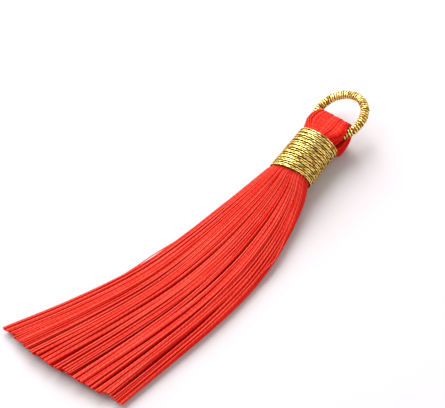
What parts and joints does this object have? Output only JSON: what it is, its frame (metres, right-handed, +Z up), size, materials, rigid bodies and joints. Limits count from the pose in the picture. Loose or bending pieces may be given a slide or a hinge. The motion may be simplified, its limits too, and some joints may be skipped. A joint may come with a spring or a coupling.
{
  "type": "tassel",
  "caption": "Yarn tassel folded over a thread-wound ring, bound with metallic thread, its skirt fanned out as it lies on its side.",
  "frame": {"origin": "on the surface, under the middle of the binding's flat lowest strip", "axes": "+Y along the head towards the ring, +Z up, the skirt fans out towards -Y"},
  "size_m": [0.0382, 0.094, 0.0099],
  "materials": {
    "red_yarn": "satin",
    "gold_thread": "bright metallic thread"
  },
  "bodies": {
    "root": {"binding": "gold_thread", "ring": "gold_thread", "yarn_hank": "red_yarn"}
  },
  "joints": []
}
